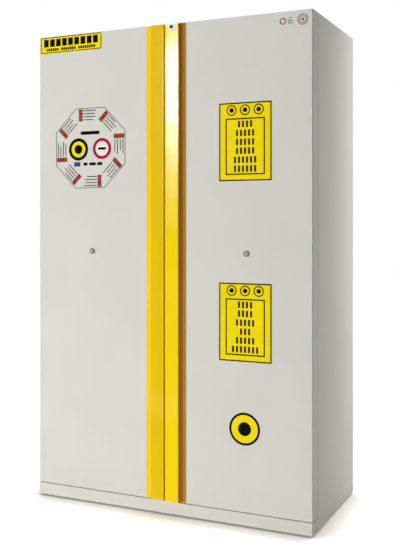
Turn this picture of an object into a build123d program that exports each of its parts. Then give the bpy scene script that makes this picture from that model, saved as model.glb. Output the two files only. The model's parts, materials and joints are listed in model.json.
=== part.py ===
from build123d import *
from math import cos, radians, sin
import os

# A tall fire-resistant safety storage cabinet with two full-height doors. Millimetres.
# X runs to the right seen from the front, Y runs to the back and Z runs up. The origin is on
# the floor, under the middle of the box that holds the cabinet and its handles.

# Overall sizes
width = 1200.0
depth = 595.0  # from the doors' outer face to the back panel
height = 1945.0  # from the floor to the top edge of the doors
floor_gap = 7.0  # from the floor to the skirt of the base
base_top = 54.5  # top of the base above the floor

# Sheets and boards
sheet = 1.5  # doors, sides, back and front frame
roof_sheet = 2.0
rail_thickness = 4.0  # flat bar that carries the upper hinge pins
base_plate = 4.0  # top plate of the base
skirt_sheet = 2.0
insulation = 38.0  # in the sides, the back and the floor
roof_board = 42.0
liner = 12.0
partition_thickness = 40.0
divider_thickness = 30.0
divider_level = 985.0  # underside of the divider in the right half

# Doors
door_thickness = 66.0
door_gap = 3.0  # from the doors' inner face to the carcass
door_bottom_gap = 3.0
door_top_gap = 2.5
meeting_gap = 4.0  # between the two doors
lip_clearance = 3.0  # from the inside of a door's top lip to the roof's front edge
edge_radius = 3.0  # folds of the door's outer sheet
lining_thickness = 1.5

# Hinges
pin_inset = 11.0  # from the door's outer side to the pin's axis
pin_from_back = 30.0  # from the door's inner face to the pin's axis
pin_radius = 5.0
pin_reach = 22.0  # how far a pin enters the door
pin_clearance = 0.05
bush_radius = 8.5
bush_end = 3.0  # closed end of a bush past the pin
collar_radius = 8.0
collar_clearance = 0.2
pin_tail = 12.0  # lower pins' length under the base plate

# Handles
handle_gap = 7.0  # between the two handles
handle_face = 57.0
handle_depth = 16.0
handle_end_inset = 2.5  # from the door's ends to the handle's
lip_thickness = 3.0
lip_undercut = 3.0
groove_width = 26.5  # from the lip's edge to the handle's outer edge
groove_edge = 1.0  # thickness of the handle's outer edge
handle_wall = 2.5

# Locks and bolt rods
lock_x = 340.0  # from the middle of the cabinet
lock_level = 1041.0
rotor_radius = 7.5
rotor_proud = 5.0
rotor_clearance = 0.15
plug_chamfer = 1.0
housing_radius = 10.0
escutcheon_radius = 12.0
escutcheon_proud = 2.5
key_slot_width = 1.8
key_slot_length = 9.0
key_slot_depth = 6.0
cam_from_front = 38.0
cam_thickness = 4.0
cam_disc_radius = 14.5
cam_radius = 10.0  # from the rotor's axis to a drive pin's
cam_start = 45.0  # degrees that a drive pin lies short of level
drive_pin_radius = 2.5
slot_clearance = 0.5
running_gap = 0.6  # between the cam, the rods and their case
cavity_clearance = 1.0  # past the rods' heads at the ends of their travel
rod_width = 10.0
rod_depth = 6.0
rod_web = 3.5  # metal round the slot in a rod's head
rod_chamfer = 1.0
rod_tip_clearance = 0.5  # under the roof when the rod is out
lower_reach = 10.0  # how far a lower rod leaves the door
rod_clearance = 0.25
channel_clearance = 2.0
strike_clearance = 2.0
guide_width = 22.0
guide_depth = 16.0
guide_height = 18.0
guide_inset = 30.0  # from the door's end to the nearer guide
guide_middle = 380.0  # from the door's end to the farther guide

# Air ducts and spigots on the roof
spigot_radius = 37.5
spigot_wall = 1.5
spigot_height = 55.0
spigot_flange = 52.0
flange_thickness = 2.0
spigot_x = 150.0
spigot_from_back = 105.0
flap_thickness = 2.0
flap_clearance = 0.5
flap_below_roof = 5.0
shaft_radius = 2.5
shaft_clearance = 0.05
plenum_depth = 50.0
baffle_thickness = 2.0
duct_length = 900.0
duct_depth = 60.0
duct_height = 30.0
duct_wall = 1.0
air_slot_length = 60.0
air_slot_height = 8.0
air_slot_pitch = 90.0
air_row_offset = 110.0  # from a compartment's floor or ceiling to its row of air slots
port_length = 110.0
port_depth = 30.0

# Shelves, sumps and their supports
rail_width = 24.0
shelf_rail_sheet = 2.0
rail_from_front = 60.0
rail_from_baffle = 60.0
rail_end_gap = 90.0
rail_slot_height = 14.0
rail_slot_width = 6.0
rail_pitch = 64.0
clip_width = 18.0
clip_reach = 14.0
clip_height = 12.0
tray_sheet = 1.2
tray_rim = 35.0
tray_side_gap = 5.0
tray_front_gap = 25.0
tray_back_gap = 10.0
left_shelves = 3
sump_sheet = 1.5
sump_height = 70.0
sump_gap = 4.0
grid_drop = 12.0  # from the sump's rim to the grid
grid_gap = 2.0
grid_slot_length = 55.0
grid_slot_width = 12.0
grid_pitch_x = 78.0
grid_pitch_y = 34.0
grid_margin = 30.0
post_size = 12.0
upper_tray_rim = 50.0

# Seals, feet and earthing
seal_width = 12.0
seal_thickness = 2.5
seal_margin = 14.0  # from an opening to its seal
centre_seal_margin = 4.0  # the same beside the partition
foot_radius = 25.0
foot_height = 6.0
stem_radius = 6.0
stem_top_gap = 2.5  # from a stem to the base plate above it
stem_grip = 9.0  # thread that stays in its nut with the foot wound out
stem_clearance = 0.1
foot_inset = 60.0
nut_size = 44.0
foot_travel = 15.0
stud_radius = 3.0
stud_length = 18.0
stud_nut_across = 10.0
stud_nut_height = 5.0
stud_from_side = 150.0

# Cutters
overcut = 1.0  # how far a cutter stands out of the face that it opens

# Planes that the pieces share
left, right = -1, 1
half = width / 2
front = (handle_depth - depth) / 2
back = front + depth
door_back = front + door_thickness
carcass_front = door_back + door_gap
frame_back = carcass_front + sheet
roof_front = front + sheet + lip_clearance
roof_under = height - roof_sheet
rail_under = roof_under - rail_thickness
door_top = rail_under - door_top_gap
door_bottom = base_top + door_bottom_gap
wall = sheet + insulation + liner
inner_half = half - wall
inner_back = back - wall
partition_half = partition_thickness / 2
baffle_front = inner_back - plenum_depth - baffle_thickness
inner_floor = base_top + insulation + liner
roof_board_under = roof_under - roof_board
ceiling = roof_board_under - liner
divider_top = divider_level + divider_thickness
hinge_x = half - pin_inset
hinge_y = door_back - pin_from_back
spigot_y = back - spigot_from_back
flap_level = roof_under - flap_below_roof
stud_x = stud_from_side - half
cam_front = front + cam_from_front
cam_back = cam_front + cam_thickness
rod_front = cam_back + running_gap
rod_back = rod_front + rod_depth
rod_middle = (rod_front + rod_back) / 2
cam_swing = cam_radius * sin(radians(cam_start))
stroke = 2 * cam_swing
rod_offset = cam_radius * (1 + cos(radians(cam_start))) / 2
slot_height = 2 * (drive_pin_radius + slot_clearance)
slot_length = cam_radius * (1 - cos(radians(cam_start))) + slot_height
head_width = slot_length + 2 * rod_web
head_height = slot_height + 2 * rod_web
upper_inset = stroke - door_top_gap - rail_thickness + rod_tip_clearance
lower_inset = stroke - lower_reach
duct_front = baffle_front - duct_depth
duct_under = ceiling - duct_height
plate_under = base_top - base_plate
stem_top = plate_under - stem_top_gap
nut_bottom = stem_top - foot_travel - stem_grip


def block(x, y, z):
    """A box from three pairs of limits, given in either order."""
    low = [min(pair) for pair in (x, y, z)]
    size = [abs(pair[1] - pair[0]) for pair in (x, y, z)]
    return Pos(*low) * Box(*size, align=Align.MIN)


def rod_z(x, y, radius, z):
    """An upright cylinder between two levels."""
    low, high = sorted(z)
    base = (Align.CENTER, Align.CENTER, Align.MIN)
    return Pos(x, y, low) * Cylinder(radius, high - low, align=base)


def rod_y(x, z, radius, y):
    """A cylinder along Y between two planes."""
    low, high = sorted(y)
    return Pos(x, (low + high) / 2, z) * Rot(90, 0, 0) * Cylinder(radius, high - low)


def rod_x(y, z, radius, x):
    """A cylinder along X between two planes."""
    low, high = sorted(x)
    return Pos((low + high) / 2, y, z) * Rot(0, 90, 0) * Cylinder(radius, high - low)


def group(solids):
    """Separate solids that share one node."""
    return Compound([solid for piece in solids for solid in piece.solids()])


def pan(x, y, z, thickness):
    """An open tray: a floor and four walls of the same sheet."""
    (x0, x1), (y0, y1), (z0, z1) = sorted(x), sorted(y), sorted(z)
    inside_x, inside_y = (x0 + thickness, x1 - thickness), (y0 + thickness, y1 - thickness)
    return block(x, y, z) - block(inside_x, inside_y, (z0 + thickness, z1 + overcut))


def spread(low, high, pitch):
    """Places at one pitch, centred between two limits."""
    count = int((high - low) / pitch)
    start = (low + high - count * pitch) / 2
    return [start + pitch * step for step in range(count + 1)]


# Compartments as (x limits, floor, ceiling, number of shelves)
left_space = ((-inner_half, -partition_half), inner_floor, ceiling, left_shelves)
right_upper = ((partition_half, inner_half), divider_top, ceiling, 1)
right_lower = ((partition_half, inner_half), inner_floor, divider_level, 1)
spaces = (left_space, right_upper, right_lower)


# Carcass


def make_base():
    """The base: a skirt with a top plate, open below, flush with the doors and the sides."""
    outer = round_front(block((-half, half), (front, back), (floor_gap, base_top)), edge_radius)
    hollow = block(
        (-half + skirt_sheet, half - skirt_sheet),
        (front + skirt_sheet, back - skirt_sheet),
        (floor_gap - overcut, plate_under),
    )
    base = outer - hollow
    for side in (left, right):
        base -= rod_z(side * hinge_x, hinge_y, pin_radius, (floor_gap, base_top + overcut))
        base -= strike_hole(side, -1, (plate_under - overcut, base_top + overcut))
    return base


def strike_hole(side, way, z):
    """The square hole that takes the end of a rod, way +1 for the upper rod and -1 for the lower."""
    x = side * lock_x + way * rod_offset
    reach_x = rod_width / 2 + strike_clearance
    reach_y = rod_depth / 2 + strike_clearance
    return block((x - reach_x, x + reach_x), (rod_middle - reach_y, rod_middle + reach_y), z)


def make_side_panel(side):
    return block((side * half, side * (half - sheet)), (carcass_front, back), (base_top, roof_under))


def make_back_panel():
    edge = half - sheet
    return block((-edge, edge), (back - sheet, back), (base_top, roof_under))


def make_roof():
    """The roof sheet, which covers the doors up to their lips and takes the two spigots."""
    roof = block((-half, half), (roof_front, back), (roof_under, height))
    for x in (-spigot_x, spigot_x):
        roof -= rod_z(x, spigot_y, spigot_radius, (roof_under - overcut, height + overcut))
    return roof - rod_z(stud_x, spigot_y, stud_radius, (roof_under - overcut, height + overcut))


def make_top_rail():
    """The flat bar under the roof's overhang, with the upper pins' holes and the strike holes."""
    rail = block((-half, half), (roof_front, carcass_front), (rail_under, roof_under))
    for side in (left, right):
        rail -= rod_z(side * hinge_x, hinge_y, pin_radius, (rail_under - overcut, roof_under + overcut))
        rail -= strike_hole(side, 1, (rail_under - overcut, roof_under + overcut))
    return rail


def make_front_frame():
    """The sheet that covers the front edges of the boards, open at both compartments."""
    edge = half - sheet
    frame = block((-edge, edge), (carcass_front, frame_back), (base_top, roof_under))
    for side in (left, right):
        x = (side * partition_half, side * inner_half)
        frame -= block(x, (carcass_front - overcut, frame_back + overcut), (inner_floor, ceiling))
    return frame


def make_side_insulation():
    outer = half - sheet
    y = (frame_back, back - sheet - insulation)
    z = (base_top + insulation, roof_board_under)
    return group([block((side * outer, side * (outer - insulation)), y, z) for side in (left, right)])


def make_back_insulation():
    edge = half - sheet
    y = (back - sheet - insulation, back - sheet)
    return block((-edge, edge), y, (base_top + insulation, roof_board_under))


def make_roof_insulation():
    edge = half - sheet
    board = block((-edge, edge), (frame_back, back - sheet), (roof_board_under, roof_under))
    board -= rod_z(stud_x, spigot_y, stud_radius, (roof_board_under, roof_under + overcut))
    for x in (-spigot_x, spigot_x):
        board -= rod_z(x, spigot_y, spigot_radius, (roof_board_under - overcut, roof_under + overcut))
    return board


def make_floor_insulation():
    edge = half - sheet
    return block((-edge, edge), (frame_back, back - sheet), (base_top, base_top + insulation))


def make_side_liners():
    y = (frame_back, inner_back)
    z = (inner_floor, ceiling)
    return group([block((side * inner_half, side * (inner_half + liner)), y, z) for side in (left, right)])


def make_back_liner():
    edge = inner_half + liner
    return block((-edge, edge), (inner_back, inner_back + liner), (inner_floor, ceiling))


def make_ceiling_liner():
    """The ceiling board, with one port into the rear plenum and one into the intake duct."""
    edge = inner_half + liner
    board = block((-edge, edge), (frame_back, inner_back + liner), (ceiling, roof_board_under))
    z = (ceiling - overcut, roof_board_under + overcut)
    exhaust_y = baffle_front + baffle_thickness + port_depth / 2
    intake_y = baffle_front - duct_wall - port_depth / 2
    reach_x, reach_y = port_length / 2, port_depth / 2
    for x, y in ((-spigot_x, exhaust_y), (spigot_x, intake_y)):
        board -= block((x - reach_x, x + reach_x), (y - reach_y, y + reach_y), z)
    return board


def make_floor_liner():
    edge = inner_half + liner
    return block((-edge, edge), (frame_back, inner_back + liner), (base_top + insulation, inner_floor))


def make_partition():
    """The wall between the two halves, notched at the top for the intake duct."""
    board = block((-partition_half, partition_half), (frame_back, baffle_front), (inner_floor, ceiling))
    notch = block((-half, half), (duct_front, baffle_front + overcut), (duct_under, ceiling + overcut))
    return board - notch


def make_divider():
    return block((partition_half, inner_half), (frame_back, baffle_front), (divider_level, divider_top))


def air_slot(x, y, z):
    """The cutter of one air slot, centred on x and z."""
    slot_x = (x - air_slot_length / 2, x + air_slot_length / 2)
    return block(slot_x, y, (z - air_slot_height / 2, z + air_slot_height / 2))


def make_baffle():
    """The rear air baffle, with a row of slots near the floor and the ceiling of each compartment."""
    baffle_back = baffle_front + baffle_thickness
    baffle = block((-inner_half, inner_half), (baffle_front, baffle_back), (inner_floor, ceiling))
    y = (baffle_front - overcut, baffle_back + overcut)
    slots = []
    for (x0, x1), low, high, _ in spaces:
        for x in spread(x0 + air_slot_pitch, x1 - air_slot_pitch, air_slot_pitch):
            slots += [air_slot(x, y, z) for z in (low + air_row_offset, high - air_row_offset)]
    return baffle - slots


def make_intake_duct():
    """The flat duct under the ceiling that feeds fresh air to both halves."""
    reach = duct_length / 2
    duct = block((-reach, reach), (duct_front, baffle_front), (duct_under, ceiling))
    duct -= block(
        (-reach + duct_wall, reach - duct_wall),
        (duct_front + duct_wall, baffle_front - duct_wall),
        (duct_under + duct_wall, ceiling + overcut),
    )
    y = (duct_front - overcut, duct_front + duct_wall + overcut)
    places = spread(-reach + air_slot_pitch, reach - air_slot_pitch, air_slot_pitch)
    clear = partition_half + air_slot_length / 2
    return duct - [air_slot(x, y, (duct_under + ceiling) / 2) for x in places if abs(x) > clear]


# Shelves and sumps


def shelf_levels(low, high, count):
    """Levels of the trays' undersides, evenly spaced between a floor and a ceiling."""
    step = (high - low) / (count + 1)
    return [low + step * (number + 1) for number in range(count)]


def rail_places(x0, x1):
    """Each rail's wall plane, the way it faces and its middle along Y."""
    rows = (frame_back + rail_from_front, baffle_front - rail_from_baffle)
    return [(x, way, y) for x, way in ((x0, 1), (x1, -1)) for y in rows]


def make_shelf_rails():
    """The slotted strips on the walls of every compartment."""
    strips = []
    for (x0, x1), low, high, _ in spaces:
        z = (low + rail_end_gap, high - rail_end_gap)
        for x, way, y in rail_places(x0, x1):
            strip_x = (x, x + way * shelf_rail_sheet)
            strip = block(strip_x, (y - rail_width / 2, y + rail_width / 2), z)
            through = (x - 2 * shelf_rail_sheet, x + 2 * shelf_rail_sheet)
            slot_y = (y - rail_slot_width / 2, y + rail_slot_width / 2)
            levels = spread(z[0] + rail_pitch / 2, z[1] - rail_pitch / 2, rail_pitch)
            reach = rail_slot_height / 2
            slots = [block(through, slot_y, (level - reach, level + reach)) for level in levels]
            strips.append(strip - slots)
    return group(strips)


def make_shelf_clips():
    """Four supports under each tray shelf, seated on the rails."""
    clips = []
    for (x0, x1), low, high, count in spaces:
        for level in shelf_levels(low, high, count):
            for x, way, y in rail_places(x0, x1):
                start = x + way * shelf_rail_sheet
                clip = block(
                    (start, start + way * clip_reach),
                    (y - clip_width / 2, y + clip_width / 2),
                    (level - clip_height, level),
                )
                along = clip.edges().filter_by(Axis.Y)
                tip = max(along, key=lambda edge: way * edge.center().X - edge.center().Z)
                clips.append(chamfer(tip, clip_height / 2))
    return group(clips)


def make_tray_shelves(chosen):
    """The tray shelves of some compartments, each resting on its four clips."""
    trays = []
    for (x0, x1), low, high, count in chosen:
        for level in shelf_levels(low, high, count):
            x = (x0 + tray_side_gap, x1 - tray_side_gap)
            y = (frame_back + tray_front_gap, baffle_front - tray_back_gap)
            trays.append(pan(x, y, (level, level + tray_rim), tray_sheet))
    return group(trays)


def sump_limits(x0, x1):
    return (x0 + sump_gap, x1 - sump_gap), (frame_back + tray_front_gap, baffle_front - sump_gap)


def make_sump(space):
    (x0, x1), low, _, _ = space
    x, y = sump_limits(x0, x1)
    return pan(x, y, (low, low + sump_height), sump_sheet)


def make_upper_tray():
    (x0, x1), low, _, _ = right_upper
    x, y = sump_limits(x0, x1)
    return pan(x, y, (low, low + upper_tray_rim), sump_sheet)


def grid_slot(x, y, top):
    """The cutter of one drain slot."""
    slot_x = (x - grid_slot_length / 2, x + grid_slot_length / 2)
    slot_y = (y - grid_slot_width / 2, y + grid_slot_width / 2)
    return block(slot_x, slot_y, (top - sump_sheet - overcut, top + overcut))


def make_sump_grids():
    """A slotted grid in each sump, standing on four posts."""
    pieces = []
    for (x0, x1), low, _, _ in (left_space, right_lower):
        (xa, xb), (ya, yb) = sump_limits(x0, x1)
        inset = sump_sheet + grid_gap
        xa, xb, ya, yb = xa + inset, xb - inset, ya + inset, yb - inset
        top = low + sump_height - grid_drop
        plate = block((xa, xb), (ya, yb), (top - sump_sheet, top))
        edge_x = grid_margin + grid_slot_length / 2
        places = [
            (x, y)
            for x in spread(xa + edge_x, xb - edge_x, grid_pitch_x)
            for y in spread(ya + grid_margin, yb - grid_margin, grid_pitch_y)
        ]
        pieces.append(plate - [grid_slot(x, y, top) for x, y in places])
        for x in ((xa, xa + post_size), (xb - post_size, xb)):
            for y in ((ya, ya + post_size), (yb - post_size, yb)):
                pieces.append(block(x, y, (low + sump_sheet, top - sump_sheet)))
    return group(pieces)


# Doors


def round_front(body, radius):
    """Rounds the two upright edges on a body's front face."""
    upright = body.edges().filter_by(Axis.Z)
    face = min(edge.center().Y for edge in upright)
    return fillet(upright.filter_by(lambda edge: edge.center().Y < face + radius), radius)


def door_inside(side, deep):
    """The space inside a door's outer pan, as far back as one plane."""
    space = block(
        (side * (meeting_gap / 2 + sheet), side * (half - sheet)),
        (front + sheet, deep),
        (door_bottom + sheet, door_top - sheet),
    )
    return round_front(space, edge_radius - sheet)


def make_door_skin(side):
    """The outer pan of a door, and the lip along its top that stands up in front of the roof's edge."""
    inner, outer = meeting_gap / 2, half
    body = block((side * inner, side * outer), (front, door_back), (door_bottom, door_top))
    skin = round_front(body, edge_radius) - door_inside(side, door_back + overcut)
    skin -= rod_y(side * lock_x, lock_level, housing_radius, (front - overcut, front + sheet + overcut))
    for way in (1, -1):
        end = (door_end(way) + way * overcut, door_end(way) - 2 * way * sheet)
        skin -= channel(side, way, end)
        skin -= rod_z(side * hinge_x, hinge_y, bush_radius, end)
    lip_x = (side * (inner + edge_radius), side * (outer - edge_radius))
    return group([skin, block(lip_x, (front, front + sheet), (door_top, height))])


def channel(side, way, z, clearance=channel_clearance):
    """The run of a bolt rod through a door, between two levels."""
    x = side * lock_x + way * rod_offset
    reach_x = rod_width / 2 + clearance
    reach_y = rod_depth / 2 + clearance
    return block((x - reach_x, x + reach_x), (rod_middle - reach_y, rod_middle + reach_y), z)


def door_end(way):
    return door_top if way > 0 else door_bottom


def bush_z(way):
    end = door_end(way)
    return (end, end - way * (pin_reach + bush_end))


def guide_levels(way):
    return [door_end(way) - way * inset for inset in (guide_inset, guide_middle)]


def guide_block(side, way, level):
    x = side * lock_x + way * rod_offset
    return block(
        (x - guide_width / 2, x + guide_width / 2),
        (rod_middle - guide_depth / 2, rod_middle + guide_depth / 2),
        (level - guide_height / 2, level + guide_height / 2),
    )


def lock_cavity(side):
    """The space in a door's core for the cam and the heads of the two rods."""
    x = side * lock_x
    reach_x = rod_offset + head_width / 2 + running_gap + cavity_clearance
    reach_z = cam_swing + head_height / 2 + running_gap + cavity_clearance
    return block(
        (x - reach_x, x + reach_x),
        (cam_front - running_gap, rod_back + running_gap),
        (lock_level - reach_z, lock_level + reach_z),
    )


def make_door_core(side):
    """The insulating core of a door, cut out for the lock, the rods, their guides and the bushes."""
    core = door_inside(side, door_back - lining_thickness) - lock_cavity(side)
    core -= rod_y(side * lock_x, lock_level, housing_radius, (front, cam_front))
    for way in (1, -1):
        core -= channel(side, way, (lock_level, door_end(way)))
        core -= rod_z(side * hinge_x, hinge_y, bush_radius, bush_z(way))
        for level in guide_levels(way):
            core -= guide_block(side, way, level)
    return core


def make_door_lining(side):
    """The inner sheet of a door."""
    return block(
        (side * (meeting_gap / 2 + sheet), side * (half - sheet)),
        (door_back - lining_thickness, door_back),
        (door_bottom + sheet, door_top - sheet),
    )


def make_handle(side):
    """A full-height handle: a hollow bar with a finger groove along its outer side."""
    inner = handle_gap / 2
    lip = inner + handle_face
    groove = lip - lip_undercut
    foot = lip + groove_width
    under_lip = lip_thickness - handle_depth
    wall_side = Polyline(
        (foot, -groove_edge), (foot, 0), (inner, 0), (inner, -handle_depth), (lip, -handle_depth),
        (lip, under_lip), (groove, under_lip),
    )
    outline = make_face(wall_side + TangentArc((foot, -groove_edge), (groove, under_lip), tangent=(-1, 0)))
    low, high = door_bottom + handle_end_inset, height - handle_end_inset
    bar = Pos(0, front, low) * extrude(outline, high - low)
    bar -= block(
        (inner + handle_wall, groove - handle_wall),
        (front - handle_depth + handle_wall, front),
        (low + handle_wall, high - handle_wall),
    )
    return bar if side == right else mirror(bar, Plane.YZ)


def make_hinge_bushes(side):
    """The two cups that turn on a door's pins."""
    bushes = []
    for way in (1, -1):
        end = door_end(way)
        cup = rod_z(side * hinge_x, hinge_y, bush_radius, bush_z(way))
        bore = (end + way * overcut, end - way * (pin_reach + collar_clearance))
        bushes.append(cup - rod_z(side * hinge_x, hinge_y, pin_radius + pin_clearance, bore))
    return group(bushes)


def make_hinge_pins():
    """Four fixed pins. The lower ones have a collar that carries the door."""
    pins = []
    for side in (left, right):
        x = side * hinge_x
        pins.append(rod_z(x, hinge_y, pin_radius, (door_top - pin_reach, roof_under)))
        lower = rod_z(x, hinge_y, pin_radius, (plate_under - pin_tail, door_bottom + pin_reach))
        collar = rod_z(x, hinge_y, collar_radius, (base_top, door_bottom - collar_clearance))
        pins.append(lower + collar)
    return group(pins)


def make_rod_guides(side):
    """The four blocks that a door's rods slide in."""
    guides = []
    for way in (1, -1):
        for level in guide_levels(way):
            hole = channel(side, way, (level - guide_height, level + guide_height), rod_clearance)
            guides.append(guide_block(side, way, level) - hole)
    return group(guides)


def make_lock_housing(side):
    """The round sleeve of a lock, with its rim on the door's face."""
    x = side * lock_x
    sleeve = rod_y(x, lock_level, housing_radius, (front, cam_front - running_gap))
    rim = rod_y(x, lock_level, escutcheon_radius, (front - escutcheon_proud, front))
    rim = chamfer(rim.edges().sort_by(Axis.Y)[0], escutcheon_proud / 3)
    bore = rod_y(x, lock_level, rotor_radius + rotor_clearance, (front - rotor_proud, cam_front))
    return sleeve + rim - bore


def make_lock_rotor(side):
    """The part that the key turns: a plug with its keyway, the cam disc and two drive pins."""
    x = side * lock_x
    plug = rod_y(x, lock_level, rotor_radius, (front - rotor_proud, cam_front))
    plug = chamfer(plug.edges().sort_by(Axis.Y)[0], plug_chamfer)
    plug -= block(
        (x - key_slot_width / 2, x + key_slot_width / 2),
        (front - rotor_proud - overcut, front - rotor_proud + key_slot_depth),
        (lock_level - key_slot_length / 2, lock_level + key_slot_length / 2),
    )
    rotor = plug + rod_y(x, lock_level, cam_disc_radius, (cam_front, cam_back))
    for way in (1, -1):
        pin_x = x + way * cam_radius * cos(radians(cam_start))
        pin_z = lock_level - way * cam_swing
        rotor += rod_y(pin_x, pin_z, drive_pin_radius, (cam_back, rod_back))
    return rotor


def make_bolt_rod(side, way):
    """A bolt rod with a slotted head that a drive pin pushes, way +1 up and -1 down."""
    x = side * lock_x + way * rod_offset
    head_z = lock_level - way * cam_swing
    inset = upper_inset if way > 0 else lower_inset
    tip = door_end(way) - way * inset
    bar = block((x - rod_width / 2, x + rod_width / 2), (rod_front, rod_back), (head_z, tip))
    bar = chamfer(bar.faces().sort_by(Axis.Z)[-1 if way > 0 else 0].edges(), rod_chamfer)
    head = block(
        (x - head_width / 2, x + head_width / 2),
        (rod_front, rod_back),
        (head_z - head_height / 2, head_z + head_height / 2),
    )
    slot = block(
        (x - slot_length / 2, x + slot_length / 2),
        (rod_front - overcut, rod_back + overcut),
        (head_z - slot_height / 2, head_z + slot_height / 2),
    )
    return bar + head - slot


# Seals, feet, ducts and earthing


def make_frame_seals():
    """A gasket round each compartment's opening, on the front frame."""
    seals = []
    y = (carcass_front - seal_thickness, carcass_front)
    for side in (left, right):
        inner_x = side * (partition_half - centre_seal_margin)
        outer_x = side * (inner_half + seal_margin)
        outer_z = (inner_floor - seal_margin, ceiling + seal_margin)
        ring_x = (inner_x - side * seal_width, outer_x + side * seal_width)
        ring = block(ring_x, y, (outer_z[0] - seal_width, outer_z[1] + seal_width))
        seals.append(ring - block((inner_x, outer_x), (y[0] - overcut, y[1] + overcut), outer_z))
    return group(seals)


def foot_places():
    x = half - foot_inset
    return {
        "front_left": (-x, front + foot_inset), "front_right": (x, front + foot_inset),
        "rear_left": (-x, back - foot_inset), "rear_right": (x, back - foot_inset),
    }


def make_foot(x, y):
    """A levelling foot: a round pad with its threaded stem."""
    pad = rod_z(x, y, foot_radius, (0, foot_height))
    pad = fillet(pad.edges().sort_by(Axis.Z)[-1], foot_height / 3)
    return pad + rod_z(x, y, stem_radius, (foot_height, stem_top))


def make_foot_nuts():
    """The threaded blocks under the base plate that hold the feet."""
    nuts = []
    reach = nut_size / 2
    for x, y in foot_places().values():
        nut = block((x - reach, x + reach), (y - reach, y + reach), (nut_bottom, plate_under))
        hole = (nut_bottom - overcut, plate_under + overcut)
        nuts.append(nut - rod_z(x, y, stem_radius + stem_clearance, hole))
    return group(nuts)


def make_spigot(x):
    """A round duct spigot on its flange, and below it the sleeve that bears the flap's shaft."""
    flange_top, tube_top = height + flange_thickness, height + spigot_height
    air = rod_z(x, spigot_y, spigot_radius - spigot_wall, (roof_board_under - overcut, tube_top + overcut))
    tube = rod_z(x, spigot_y, spigot_radius, (flange_top, tube_top)) - air
    flange = rod_z(x, spigot_y, spigot_flange, (height, flange_top)) - air
    sleeve = rod_z(x, spigot_y, spigot_radius, (roof_board_under, height)) - air
    reach = (x - spigot_flange, x + spigot_flange)
    sleeve -= rod_x(spigot_y, flap_level, shaft_radius + shaft_clearance, reach)
    return group([tube, flange, sleeve])


def make_flap(x):
    """A fire damper flap, standing open on edge, with its shaft."""
    radius = spigot_radius - spigot_wall - flap_clearance
    disc = rod_y(x, flap_level, radius, (spigot_y - flap_thickness / 2, spigot_y + flap_thickness / 2))
    reach = spigot_radius - spigot_wall / 3
    return disc + rod_x(spigot_y, flap_level, shaft_radius, (x - reach, x + reach))


def make_earth_stud():
    """The earthing stud on the roof with its nut."""
    stud = rod_z(stud_x, spigot_y, stud_radius, (roof_board_under + liner, height + stud_length))
    nut = extrude(RegularPolygon(stud_nut_across / 2, 6, major_radius=False), stud_nut_height)
    return stud + Pos(stud_x, spigot_y, height) * nut


pieces = {
    "base_frame": make_base(),
    "side_panel_left": make_side_panel(left),
    "side_panel_right": make_side_panel(right),
    "back_panel": make_back_panel(),
    "roof_panel": make_roof(),
    "top_hinge_rail": make_top_rail(),
    "front_frame": make_front_frame(),
    "side_insulation": make_side_insulation(),
    "back_insulation": make_back_insulation(),
    "roof_insulation": make_roof_insulation(),
    "floor_insulation": make_floor_insulation(),
    "side_liners": make_side_liners(),
    "back_liner": make_back_liner(),
    "ceiling_liner": make_ceiling_liner(),
    "floor_liner": make_floor_liner(),
    "centre_partition": make_partition(),
    "compartment_divider": make_divider(),
    "rear_baffle": make_baffle(),
    "intake_duct": make_intake_duct(),
    "shelf_rails": make_shelf_rails(),
    "shelf_clips": make_shelf_clips(),
    "tray_shelves_left": make_tray_shelves([left_space]),
    "tray_shelves_right": make_tray_shelves([right_upper, right_lower]),
    "upper_tray": make_upper_tray(),
    "sump_left": make_sump(left_space),
    "sump_right": make_sump(right_lower),
    "sump_grids": make_sump_grids(),
    "frame_seals": make_frame_seals(),
    "hinge_pins": make_hinge_pins(),
    "foot_nuts": make_foot_nuts(),
    "exhaust_spigot": make_spigot(-spigot_x),
    "intake_spigot": make_spigot(spigot_x),
    "exhaust_flap": make_flap(-spigot_x),
    "intake_flap": make_flap(spigot_x),
    "earth_stud": make_earth_stud(),
}

for hand, side in (("left", left), ("right", right)):
    pieces[f"door_skin_{hand}"] = make_door_skin(side)
    pieces[f"door_core_{hand}"] = make_door_core(side)
    pieces[f"door_lining_{hand}"] = make_door_lining(side)
    pieces[f"door_handle_{hand}"] = make_handle(side)
    pieces[f"hinge_bushes_{hand}"] = make_hinge_bushes(side)
    pieces[f"rod_guides_{hand}"] = make_rod_guides(side)
    pieces[f"lock_housing_{hand}"] = make_lock_housing(side)
    pieces[f"lock_rotor_{hand}"] = make_lock_rotor(side)
    pieces[f"upper_bolt_rod_{hand}"] = make_bolt_rod(side, 1)
    pieces[f"lower_bolt_rod_{hand}"] = make_bolt_rod(side, -1)

for place, (x, y) in foot_places().items():
    pieces[f"foot_{place}"] = make_foot(x, y)

os.makedirs("parts", exist_ok=True)
for name, piece in pieces.items():
    export_step(piece, f"parts/{name}.step")
print(len(pieces), "pieces; rod stroke", round(stroke, 3))
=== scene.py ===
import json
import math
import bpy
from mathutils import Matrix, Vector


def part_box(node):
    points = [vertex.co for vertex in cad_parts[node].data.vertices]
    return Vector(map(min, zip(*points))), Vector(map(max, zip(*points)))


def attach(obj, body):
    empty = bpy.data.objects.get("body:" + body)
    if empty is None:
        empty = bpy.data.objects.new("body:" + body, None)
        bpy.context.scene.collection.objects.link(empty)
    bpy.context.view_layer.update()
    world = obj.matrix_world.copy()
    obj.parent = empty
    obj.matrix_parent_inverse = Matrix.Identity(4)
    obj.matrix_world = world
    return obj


bl_info = {
    "name": "Safety storage cabinet",
    "version": (1, 0, 0),
    "blender": (4, 5, 0),
    "location": "3D View > Sidebar > Cabinet",
    "description": "Finishes, signs, fixings and stage for a tall two-door safety storage cabinet",
    "category": "Object",
}

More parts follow.
